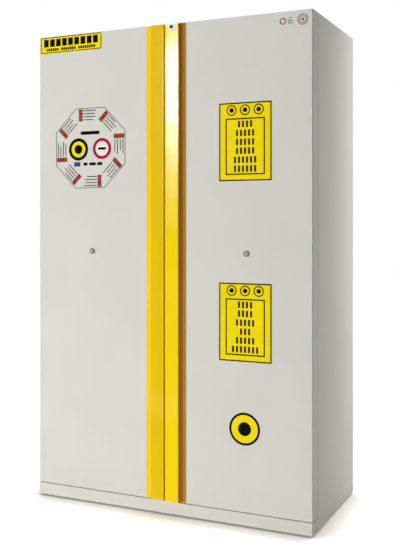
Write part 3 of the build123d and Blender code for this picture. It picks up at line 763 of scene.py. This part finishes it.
class CABINET_OT_stage(bpy.types.Operator):
    """Sets the floor, the surrounding light, the lamps and the camera"""

    bl_idname = "cabinet.stage"
    bl_label = "Stage and camera"

    def execute(self, context):
        stage = context.scene.cabinet_stage
        context.scene.view_settings.view_transform = "Standard"
        self.add_camera(context, stage)
        self.add_floor(stage)
        self.add_sky(context, stage)
        for name, (place, target, wide, high) in LAMPS.items():
            energy = getattr(stage, f"{name}_power")
            lamp = self.add_lamp(f"{name}_light", place, target, wide, high, energy)
            lamp.visible_glossy = name not in MATT_ONLY
        self.add_gloss_lamps(stage)
        return {"FINISHED"}

    def add_camera(self, context, stage):
        data = bpy.data.cameras.new("camera")
        data.lens = stage.focal_length
        data.shift_x, data.shift_y = stage.camera_shift
        camera = add_object("camera", data)
        camera.location = stage.camera_place
        camera.rotation_euler = (math.pi / 2, 0, stage.camera_turn)
        context.scene.camera = camera

    def seen_directly(self, tree):
        """1 for what the camera, a reflection or glass sees, and 0 for the light on the cabinet."""
        paths = tree.nodes.new("ShaderNodeLightPath")
        seen = paths.outputs["Is Camera Ray"]
        for label in ("Is Glossy Ray", "Is Transmission Ray"):
            seen = math_node(tree, "MAXIMUM", seen, paths.outputs[label])
        return seen

    def add_floor(self, stage):
        """A pale floor that turns white away from the cabinet and keeps its contact shadow."""
        reach = stage.floor_reach
        mesh = bpy.data.meshes.new("floor")
        corners = [(-reach, -reach, 0), (reach, -reach, 0), (reach, reach, 0), (-reach, reach, 0)]
        mesh.from_pydata(corners, [], [(0, 1, 2, 3)])
        material, tree, shader = new_finish("studio_floor", stage.floor, 0.9, Specular_IOR_Level=0.0)
        away = add_node(tree, "ShaderNodeVectorMath", place_socket(tree), operation="LENGTH")
        spread = range_node(tree, away.outputs["Value"], (stage.glow_start, stage.glow_end),
                            (stage.floor_glow, 1.0), True)
        contact = add_node(tree, "ShaderNodeAmbientOcclusion", Distance=stage.contact_reach)
        bare = range_node(tree, contact.outputs["AO"], OPEN_SHARES, (stage.contact_tone, 1.0), True)
        whiteness = math_node(tree, "MULTIPLY", spread, bare)
        glow = math_node(tree, "MULTIPLY", self.seen_directly(tree), whiteness)
        tint = blend_colours(tree, bare, stage.contact_tint, (1, 1, 1))
        fill(tree, shader, Emission_Color=tint, Emission_Strength=glow)
        mesh.materials.append(material)
        add_object("floor", mesh)

    def add_sky(self, context, stage):
        """Even light all round, behind which the backdrop shows white."""
        world = bpy.data.worlds.new("studio")
        world.use_nodes = True
        tree = world.node_tree
        seen = self.seen_directly(tree)
        fill(tree, tree.nodes["Background"], Color=blend_colours(tree, seen, stage.sky_tint, (1, 1, 1)),
             Strength=range_node(tree, seen, new=(stage.sky, 1.0)))
        context.scene.world = world

    def add_lamp(self, name, place, target, wide, high, energy):
        data = bpy.data.lights.new(name, "AREA")
        data.shape = "RECTANGLE"
        data.size, data.size_y = wide, high
        data.energy = energy
        lamp = add_object(name, data)
        lamp.location = place
        lamp.rotation_euler = (Vector(target) - Vector(place)).to_track_quat("-Z", "Y").to_euler()
        lamp.visible_camera = False
        return lamp

    def add_gloss_lamps(self, stage):
        """Bands of a narrow lamp that only shiny surfaces show, strongest near its upper end."""
        x, y = GLOSS_PLACE
        for low, high, part in zip(GLOSS_LEVELS, GLOSS_LEVELS[1:], GLOSS_SHARES):
            level, tall = (low + high) / 2, high - low
            lamp = self.add_lamp("gloss_light", (x, y, level), (x, 0.0, level), stage.gloss_width, tall,
                                 stage.gloss_power * part * tall)
            lamp.visible_diffuse = False


class CABINET_OT_outer_paint(bpy.types.Operator):
    """Coats the doors, the carcass sheets and the spigots"""

    bl_idname = "cabinet.outer_paint"
    bl_label = "Outer paint"

    def execute(self, context):
        paints = context.scene.cabinet_paints
        outer = powder_coat("outer_paint", paints.door, roughness=0.55, dust=0.18, Specular_IOR_Level=0.3)
        dress(nodes_in("outer_sheet"), outer)
        dress(nodes_in("spigot_sheet"), powder_coat("spigot_paint", paints.spigot, roughness=0.4))
        return {"FINISHED"}


class CABINET_OT_handle_paint(bpy.types.Operator):
    """Coats the two full-height handles"""

    bl_idname = "cabinet.handle_paint"
    bl_label = "Handle paint"

    def execute(self, context):
        paints = context.scene.cabinet_paints
        # Each handle gets its own copy of the coat, the right one painted lighter and the left one darker,
        # as painted light and shade
        for hand in ("left", "right"):
            coat = powder_coat(
                f"handle_paint_{hand}", getattr(paints, f"handle_{hand}"), roughness=0.4, dust=0.1,
                relief=0.000008, spread=0.04, Specular_IOR_Level=0.02, Coat_Weight=0.14,
                Coat_Roughness=0.045,
            )
            dress([f"door_handle_{hand}"], coat)
            if hand == "right":
                self.paint_groove_shade(coat.node_tree, paints)
        return {"FINISHED"}

    def paint_groove_shade(self, tree, paints):
        """Painted shade in the right handle's finger groove: deeper, browner tones past the lip, where the
        groove lies in shadow.
        """
        base = tree.nodes["Principled BSDF"].inputs["Base Color"]
        paint, x = base.links[0].from_socket, axis_of(tree, place_socket(tree), "X")
        lip, rim = HANDLE_RIGHT[0].x + paints.handle_face, HANDLE_RIGHT[1].x
        # Painted shade: past the lip the coat turns to the groove's shade tones
        inside = range_node(tree, x, [lip + blend for blend in GROOVE_BLEND])
        groove_shade = blend_colours(tree, range_node(tree, x, (lip, rim)), paints.groove, paints.groove_rim_shade)
        feed(tree, base, blend_colours(tree, inside, paint, groove_shade))


class CABINET_OT_locks(bpy.types.Operator):
    """Finishes the locks, the bushes and the rod guides"""

    bl_idname = "cabinet.locks"
    bl_label = "Locks and bearings"

    def execute(self, context):
        paints = context.scene.cabinet_paints
        # Rims and plugs get shaded and lit copies of one satin chrome, as painted shade and painted light
        for name in ("lock_housing", "lock_rotor"):
            metal = satin_metal(name, getattr(paints, name), roughness=0.4, stretch=(2400, 2400, 160))
            dress([node for node in nodes_in("lock_metal") if name in node], metal)
        nylon = speckled("bearing_plastic", paints.plastic, roughness=0.5, grain=0.0006, relief=0.00002)
        dress(nodes_in("bearing_plastic"), nylon)
        return {"FINISHED"}


class CABINET_OT_fittings(bpy.types.Operator):
    """Finishes the boards, trays, sumps, rails, seals and feet"""

    bl_idname = "cabinet.fittings"
    bl_label = "Boards and fittings"

    def execute(self, context):
        paints = context.scene.cabinet_paints
        finishes = {
            "zinc_steel": zinc_coat("zinc_plate", paints.zinc, roughness=0.36, crystal=0.004),
            "foot_metal": zinc_coat("foot_zinc", shade(paints.zinc, 0.6), roughness=0.4, crystal=0.003),
            "sump_steel": zinc_coat("galvanised_sheet", paints.zinc, roughness=0.42, crystal=0.012),
            "baffle_sheet": powder_coat("inner_paint", paints.inside, roughness=0.45, dust=0.05),
            "lining_board": speckled("lining_board", paints.lining, 0.42, 0.0012, 0.00001, spread=0.03),
            "insulating_board": speckled("mineral_board", paints.board, 0.9, 0.0012, 0.0002),
            "seal_rubber": speckled("seal_rubber", paints.rubber, 0.7, 0.0008, 0.00004),
        }
        for slot, material in finishes.items():
            dress(nodes_in(slot), material)
        return {"FINISHED"}


class CABINET_OT_expansion_strips(bpy.types.Operator):
    """Glues fire expansion strips to the front frame, outside its seals"""

    bl_idname = "cabinet.expansion_strips"
    bl_label = "Expansion strips"

    def execute(self, context):
        paints, fixings = context.scene.cabinet_paints, context.scene.cabinet_fixings
        wide, thick, gap = fixings.strip_width, fixings.strip_thickness, fixings.strip_gap
        face = FRONT_FRAME[0].y
        low, high = SEALS
        outer_x, low_z, high_z = high.x + gap, low.z - gap - wide, high.z + gap + wide
        mesh = bmesh.new()
        runs = [
            ((-outer_x - wide, low_z), (-outer_x, high_z)),
            ((outer_x, low_z), (outer_x + wide, high_z)),
            ((-outer_x + gap, low_z), (outer_x - gap, low_z + wide)),
            ((-outer_x + gap, high_z - wide), (outer_x - gap, high_z)),
        ]
        for (x0, z0), (x1, z1) in runs:
            for vertex in bmesh.ops.create_cube(mesh, size=1.0)["verts"]:
                x, y, z = vertex.co
                depth = face - thick if y < 0 else face + STRIP_SINK
                vertex.co = (x0 if x < 0 else x1, depth, z0 if z < 0 else z1)
        edges = [edge for edge in mesh.edges if all(vertex.co.y < face for vertex in edge.verts)]
        bmesh.ops.bevel(mesh, geom=edges, offset=thick * 0.4, segments=2, affect="EDGES", profile=0.6)
        strip = speckled("expansion_strip", paints.strip, roughness=0.8, grain=0.0007, relief=0.00006)
        add_piece("expansion_strips", mesh, [strip], "cabinet")
        return {"FINISHED"}


class CABINET_OT_octagon_sign(bpy.types.Operator):
    """Prints the octagonal outline with its plain panels on the left door"""

    bl_idname = "cabinet.octagon_sign"
    bl_label = "Octagonal sign"

    def execute(self, context):
        signs = context.scene.cabinet_signs
        x, z, reach = -signs.octagon_x, signs.octagon_level, signs.octagon_span / 2
        turn, line = math.pi / 8, 0.0026
        radius = reach / math.cos(turn)
        layers = Layers(DOOR_FACE)
        outer, inner = (circle_outline(x, z, size, 8, turn) for size in (radius, radius - line))
        layers.ring(outer, inner, BLACK, 0)
        for side in range(8):
            self.add_panel(layers, x, z, reach, side)
        self.add_middle(layers, x, z)
        layers.stick("octagon_sign", "door_left")
        return {"FINISHED"}

    def add_panel(self, layers, x, z, reach, side):
        """Four thin lines along one side of the octagon, each with a block of colour at its start."""
        inset, pitch, block_x, line_x = 0.0105, 0.0125, -0.045, -0.032
        block_wide, block_high, line_high = 0.0185, 0.0122, 0.0034
        line_lengths = (0.062, 0.055, 0.058, 0.046)
        inks = (BROWN, RED, BROWN, BROWN, RED)
        for step in range(4):
            level, long = reach - inset - pitch * step, line_lengths[(step + side) % len(line_lengths)]
            block = bar_outline(block_x, level, block_wide, block_high)
            line = bar_outline(line_x + long / 2, level, long, line_high)
            for shape, ink in ((block, inks[(2 * side + step) % len(inks)]), (line, BLACK)):
                layers.solid(turned(shape, x, z, math.pi / 4 * side), ink, 0)

    def add_middle(self, layers, x, z):
        """Two round marks, a thick bar over them and a row of small blocks under them."""
        bar_z, marks_z, row_z = z + 0.063, z - 0.004, z - 0.066
        left, right = x - 0.056, x + 0.057
        blue_x, row_x, row_pitch = x - 0.062, x - 0.022, 0.034
        discs = [(left, 0.0465, BLACK, 0), (left, 0.0335, YELLOW, 1), (left, 0.019, BLACK, 2),
                 (right, 0.0435, RED, 0), (right, 0.0305, WHITE, 1)]
        layers.solid(round_outline(x, bar_z, 0.09, 0.014, 0.003), BLACK, 0)
        for mark_x, radius, ink, layer in discs:
            layers.solid(circle_outline(mark_x, marks_z, radius), ink, layer)
        layers.solid(bar_outline(right, marks_z, 0.036, 0.0095), BLACK, 2)
        layers.solid(bar_outline(blue_x, row_z, 0.03, 0.018), BLUE, 0)
        for step, wide in enumerate((0.018, 0.03, 0.024)):
            layers.solid(bar_outline(row_x + row_pitch * step, row_z, wide, 0.012), BLACK, 0)


class CABINET_OT_sheet_signs(bpy.types.Operator):
    """Sticks the two upright yellow sheets with plain blocks on the right door"""

    bl_idname = "cabinet.sheet_signs"
    bl_label = "Upright sheets"

    def execute(self, context):
        signs = context.scene.cabinet_signs
        self.add_sheet("upper_sheet_sign", signs, signs.upper_sheet, (4, 5, 5, 5, 6, 6))
        self.add_sheet("lower_sheet_sign", signs, signs.lower_sheet, (4, 4, 5, 3, 5, 7))
        return {"FINISHED"}

    def add_sheet(self, name, signs, z, counts):
        """One sheet: two frames, three ringed dots at the top, and rows of upright blocks."""
        x, wide, high, line = signs.column, signs.sheet_width, signs.sheet_height, signs.sheet_line
        edge, side_margin, foot_margin, row_margin, frame_cover = 0.0005, 0.027, 0.024, 0.006, 0.72
        dots_lift, dots_pitch, dot_ring, dot_line, dot_radius = 0.0005, 0.055, 0.0205, 0.0044, 0.009
        layers = Layers(DOOR_FACE)
        layers.solid(bar_outline(x, z, wide, high), YELLOW, 0)
        layers.border(x, z, wide - 2 * edge, high - 2 * edge, line, BLACK)
        frame_high = high * frame_cover
        frame_z = z - high / 2 + foot_margin + frame_high / 2
        frame_top = frame_z + frame_high / 2
        layers.border(x, frame_z, wide - 2 * side_margin, frame_high, line, BLACK)
        dots_z = (frame_top + z + high / 2) / 2 + dots_lift
        for dot_x in (x - dots_pitch, x, x + dots_pitch):
            layers.circle_line(dot_x, dots_z, dot_ring, dot_line, BLACK)
            layers.solid(circle_outline(dot_x, dots_z, dot_radius), BLACK)
        step = (frame_high - 2 * row_margin) / len(counts)
        for number, count in enumerate(counts):
            row_z = frame_top - row_margin - step * (number + 0.5)
            for place in range(count):
                block_x = x + (place - (count - 1) / 2) * signs.block_pitch
                layers.solid(bar_outline(block_x, row_z, signs.block_width, signs.block_height), BLACK)
        layers.stick(name, "door_right")


class CABINET_OT_disc_sign(bpy.types.Operator):
    """Sticks the plain round sign low on the right door"""

    bl_idname = "cabinet.disc_sign"
    bl_label = "Round sign"

    def execute(self, context):
        signs = context.scene.cabinet_signs
        x, z, radius = signs.column - 0.002, signs.disc_level, signs.disc_radius
        layers = Layers(DOOR_FACE)
        layers.solid(circle_outline(x, z, radius, 72), BLACK, 0)
        layers.solid(circle_outline(x, z, radius - signs.disc_rim, 72), YELLOW, 1)
        layers.solid(circle_outline(x, z, signs.disc_dot), BLACK, 2)
        layers.stick("round_sign", "door_right")
        return {"FINISHED"}


class CABINET_OT_corner_plate(bpy.types.Operator):
    """Sticks the plain yellow plate in the upper left corner"""

    bl_idname = "cabinet.corner_plate"
    bl_label = "Corner plate"

    def execute(self, context):
        signs = context.scene.cabinet_signs
        wide, high = signs.plate_width, signs.plate_height
        side_gap, top_gap, corner = 0.004, 0.001, 0.009
        line_from, line_to = 0.0015, 0.0048
        x = SKIN_LEFT[0].x + side_gap + wide / 2
        z = SKIN_LEFT[1].z - top_gap - high / 2
        layers = Layers(DOOR_FACE)
        layers.solid(round_outline(x, z, wide, high, corner), YELLOW, 0)
        insets = (line_from, line_to)
        outer, inner = (round_outline(x, z, wide - 2 * by, high - 2 * by, corner - by) for by in insets)
        layers.ring(outer, inner, BLACK)
        self.add_blocks(layers, x, z + 0.009, wide * 0.9, high * 0.45, (9,), 0.76)
        self.add_blocks(layers, x, z - 0.0195, wide * 0.8, high * 0.16, (6, 7, 8), 0.78)
        layers.stick("corner_plate", "door_left")
        return {"FINISHED"}

    def add_blocks(self, layers, x, z, wide, high, runs, cover):
        """A row of blocks in runs, with one block's pitch left free between two runs."""
        pitch = wide / (sum(runs) + len(runs) - 1)
        place = x - wide / 2 + pitch / 2
        for count in runs:
            for _ in range(count):
                layers.solid(bar_outline(place, z, pitch * cover, high), BLACK)
                place += pitch
            place += pitch


class CABINET_OT_corner_marks(bpy.types.Operator):
    """Prints two small plain rings and three short lines in the upper right corner"""

    bl_idname = "cabinet.corner_marks"
    bl_label = "Corner marks"

    def execute(self, context):
        layers = Layers(DOOR_FACE)
        corner = SKIN_RIGHT[1]
        z, ring_x, mark_x, line_pitch = corner.z - 0.035, corner.x - 0.038, corner.x - 0.115, 0.009
        layers.circle_line(ring_x, z, 0.0205, 0.003, BROWN, 0)
        layers.circle_line(ring_x, z, 0.0135, 0.0024, BROWN, 0)
        layers.solid(circle_outline(ring_x, z, 0.005), BROWN, 0)
        layers.circle_line(mark_x, z - 0.001, 0.0125, 0.004, RED, 0)
        for step, wide in enumerate((0.012, 0.02, 0.02)):
            layers.solid(bar_outline(mark_x + 0.029, z + line_pitch * (1 - step), wide, 0.003), BLACK, 0)
        layers.stick("corner_marks", "door_right")
        return {"FINISHED"}


class CABINET_OT_handle_label(bpy.types.Operator):
    """Sticks the small white label at the top of the right handle"""

    bl_idname = "cabinet.handle_label"
    bl_label = "Handle label"

    def execute(self, context):
        low, high = HANDLE_RIGHT
        x, z = low.x + 0.031, high.z - 0.014
        layers = Layers(low.y)
        layers.solid(round_outline(x, z, 0.034, 0.026, 0.002), WHITE, 0)
        layers.solid(round_outline(x - 0.004, z + 0.001, 0.014, 0.012, 0.001), BLACK, 1)
        layers.stick("handle_label", "door_right")
        return {"FINISHED"}


class CABINET_OT_rivets(bpy.types.Operator):
    """Sets the rivets of the back, the roof, the front frame and the door linings"""

    bl_idname = "cabinet.rivets"
    bl_label = "Rivets"

    def execute(self, context):
        fixings = context.scene.cabinet_fixings
        pitch, inset, edge = fixings.rivet_pitch, fixings.side_inset, fixings.back_inset
        low, high = BACK_PANEL
        low_z, high_z = low.z + edge, high.z - edge
        places = loop(low.x + edge, high.x - edge, high.y, low_z, high_z, pitch)
        for x in (low.x / 3, high.x / 3):
            places += row((x, high.y, low_z), (x, high.y, high_z), pitch)[1:-1]
        self.add("back_rivets", places, (0, 1, 0), "cabinet", fixings)
        low, high = ROOF
        front_y, back_y = low.y + 0.04, high.y - 0.02
        places = []
        for x in (low.x + inset, high.x - inset):
            places += row((x, front_y, high.z), (x, back_y, high.z), pitch)
        self.add("roof_rivets", places, (0, 0, 1), "cabinet", fixings)
        low, high = FRONT_FRAME
        low_z, high_z = low.z + 0.02, high.z - 0.02
        places = []
        for x in (low.x + fixings.frame_inset, high.x - fixings.frame_inset):
            places += row((x, low.y, low_z), (x, low.y, high_z), pitch * 1.6)
        self.add("frame_rivets", places, (0, -1, 0), "cabinet", fixings)
        low, high = LINING_RIGHT
        low_z, high_z = low.z + fixings.lining_inset, high.z - fixings.lining_inset
        for hand, side in (("left", -1), ("right", 1)):
            places = loop(side * (low.x + 2 * inset), side * (high.x - inset), high.y, low_z, high_z, pitch)
            self.add(f"lining_rivets_{hand}", places, (0, 1, 0), f"door_{hand}", fixings)
        return {"FINISHED"}

    def add(self, name, places, way, body, fixings):
        """One piece of rivets that all face one way."""
        painted = bpy.data.materials["outer_paint"]
        add_heads(name, "Rivet heads", [(place, way) for place in places], body, "outer_sheet", painted,
                  Radius=fixings.rivet_radius, Flatness=fixings.rivet_flatness)


class CABINET_OT_screws(bpy.types.Operator):
    """Sets the screws of the spigots' flanges and of the shelf rails"""

    bl_idname = "cabinet.screws"
    bl_label = "Screws"

    def execute(self, context):
        fixings = context.scene.cabinet_fixings
        points = []
        for low, high in SPIGOTS:
            middle, reach = (low + high) / 2, (high.x - low.x) / 2 - fixings.flange_inset
            for step in range(4):
                angle = math.radians(45 + 90 * step)
                place = (middle.x + reach * math.cos(angle), middle.y + reach * math.sin(angle),
                         ROOF[1].z + fixings.flange_thickness)
                points.append((place, (0, 0, 1)))
        self.add("flange_screws", points, fixings)
        points = []
        for low, high in islands("shelf_rails"):
            inner = abs(low.x) < RAILS[1].x / 2
            way = 1 if inner == (low.x > 0) else -1
            face = high.x if way > 0 else low.x
            gaps = round((high.z - low.z) / 2 / fixings.slot_pitch)
            middle_z = low.z + gaps * fixings.slot_pitch
            for z in (low.z + fixings.rail_end, middle_z, high.z - fixings.rail_end):
                points.append(((face, (low.y + high.y) / 2, z), (way, 0, 0)))
        self.add("rail_screws", points, fixings)
        return {"FINISHED"}

    def add(self, name, points, fixings):
        """One piece of zinc plated screws."""
        add_heads(name, "Screw heads", points, "cabinet", "zinc_steel", bpy.data.materials["zinc_plate"],
                  Radius=fixings.screw_radius, Height=fixings.screw_height, Sides=fixings.screw_sides,
                  Seed=fixings.turn_seed)


class CABINET_OT_sealant(bpy.types.Operator):
    """Runs a bead of sealant round each spigot's flange"""

    bl_idname = "cabinet.sealant"
    bl_label = "Sealant"

    def execute(self, context):
        paints, fixings = context.scene.cabinet_paints, context.scene.cabinet_fixings
        rubber = speckled("roof_sealant", paints.sealant, roughness=0.55, grain=0.002, relief=0.00005)
        mesh = bmesh.new()
        for low, high in SPIGOTS:
            middle = (low + high) / 2
            self.add_bead(mesh, middle.x, middle.y, ROOF[1].z, (high.x - low.x) / 2, fixings.bead_radius)
        piece = add_piece("spigot_sealant", mesh, [rubber], "cabinet")
        piece.data.shade_smooth()
        return {"FINISHED"}

    def add_bead(self, mesh, x, y, z, reach, radius, sides=64, steps=8):
        """A closed ring whose round section lies half under the flange's edge."""
        rings = []
        for side in range(sides):
            around = 2 * math.pi * side / sides
            wobble = radius * 0.12 * math.sin(5 * around) + radius * 0.08 * math.sin(11 * around + 1)
            ring = []
            for step in range(steps):
                angle = 2 * math.pi * step / steps
                out = reach + wobble + radius * math.cos(angle)
                ring.append(mesh.verts.new((x + out * math.cos(around), y + out * math.sin(around),
                                            z + radius * math.sin(angle))))
            rings.append(ring)
        for here, after in zip(rings, rings[1:] + rings[:1]):
            for step in range(steps):
                beyond = (step + 1) % steps
                mesh.faces.new((here[step], after[step], after[beyond], here[beyond]))


STEPS = (
    CABINET_OT_stage,
    CABINET_OT_outer_paint,
    CABINET_OT_handle_paint,
    CABINET_OT_locks,
    CABINET_OT_fittings,
    CABINET_OT_expansion_strips,
    CABINET_OT_octagon_sign,
    CABINET_OT_sheet_signs,
    CABINET_OT_disc_sign,
    CABINET_OT_corner_plate,
    CABINET_OT_corner_marks,
    CABINET_OT_handle_label,
    CABINET_OT_rivets,
    CABINET_OT_screws,
    CABINET_OT_sealant,
)


class CABINET_PT_steps(bpy.types.Panel):
    """The cabinet's steps, in the order in which they are run"""

    bl_idname = "CABINET_PT_steps"
    bl_label = "Cabinet"
    bl_space_type = "VIEW_3D"
    bl_region_type = "UI"
    bl_category = "Cabinet"

    def draw(self, context):
        for step in STEPS:
            self.layout.operator(step.bl_idname)


def register():
    for group in SETTINGS.values():
        bpy.utils.register_class(group)
    for name, group in SETTINGS.items():
        setattr(bpy.types.Scene, name, PointerProperty(type=group))
    for step in STEPS:
        bpy.utils.register_class(step)
    bpy.utils.register_class(CABINET_PT_steps)


def unregister():
    bpy.utils.unregister_class(CABINET_PT_steps)
    for step in reversed(STEPS):
        bpy.utils.unregister_class(step)
    for name, group in SETTINGS.items():
        delattr(bpy.types.Scene, name)
        bpy.utils.unregister_class(group)


def main():
    register()
    for step in STEPS:
        area, name = step.bl_idname.split(".")
        getattr(getattr(bpy.ops, area), name)()


if __name__ == "__main__":
    main()
